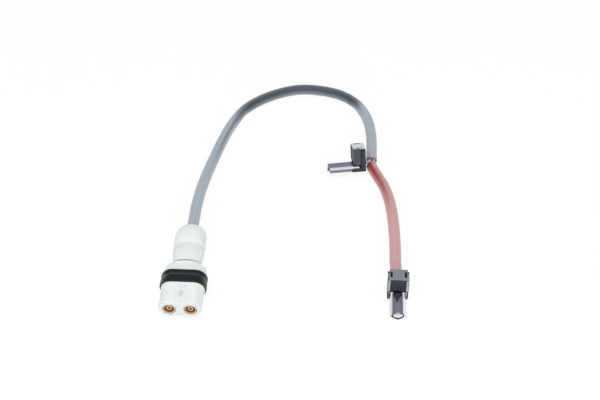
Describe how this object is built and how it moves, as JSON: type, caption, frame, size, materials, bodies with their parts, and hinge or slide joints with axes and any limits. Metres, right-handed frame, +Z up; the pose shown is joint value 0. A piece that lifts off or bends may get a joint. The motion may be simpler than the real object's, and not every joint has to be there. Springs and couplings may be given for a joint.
{
  "type": "brake pad wear sensor",
  "caption": "Brake pad wear sensor: a sealed two-way plug and a sleeved cable that feeds two clip-in sensor heads, one near its middle and one at its end.",
  "frame": {"origin": "on the table under the middle of the box that holds every piece but the two sleeves", "axes": "+Z up from the table, +X from the plug towards the sensor at the cable's end, +Y from the plug's mating face towards its cable"},
  "size_m": [0.108, 0.156, 0.014],
  "materials": {
    "plug_moulding": "satin moulded thermoplastic",
    "plug_seal_rubber": "moulded, slight sheen",
    "contact_brass": "turned",
    "wire_seal_rubber": "matt",
    "wire_insulation": "satin",
    "grey_sleeving": "satin extruded sleeving",
    "red_sleeving": "satin extruded sleeving",
    "lead_insulation": "satin",
    "head_moulding": "moulded, satin gloss",
    "clip_steel": "bright rolled spring steel",
    "loop_wire": "drawn copper wire",
    "grommet_rubber": "matt"
  },
  "bodies": {
    "root": {"plug_housing": "plug_moulding", "plug_rear_cap": "plug_moulding", "plug_seal": "plug_seal_rubber", "contact_socket_left": "contact_brass", "contact_socket_right": "contact_brass", "contact_core_left": "contact_brass", "contact_core_right": "contact_brass", "wire_seal_left": "wire_seal_rubber", "wire_seal_right": "wire_seal_rubber", "plug_wire_left": "wire_insulation", "plug_wire_right": "wire_insulation", "grey_sleeve": "grey_sleeving", "red_sleeve": "red_sleeving", "lead_plug_to_sensor_2": "lead_insulation", "lead_sensor_2_to_sensor_1": "lead_insulation", "lead_plug_to_sensor_1": "lead_insulation", "sensor_1_body": "head_moulding", "sensor_1_clip": "clip_steel", "sensor_1_loop": "loop_wire", "sensor_2_body": "head_moulding", "sensor_2_clip": "clip_steel", "sensor_2_loop": "loop_wire", "sensor_2_grommet": "grommet_rubber"}
  },
  "joints": []
}
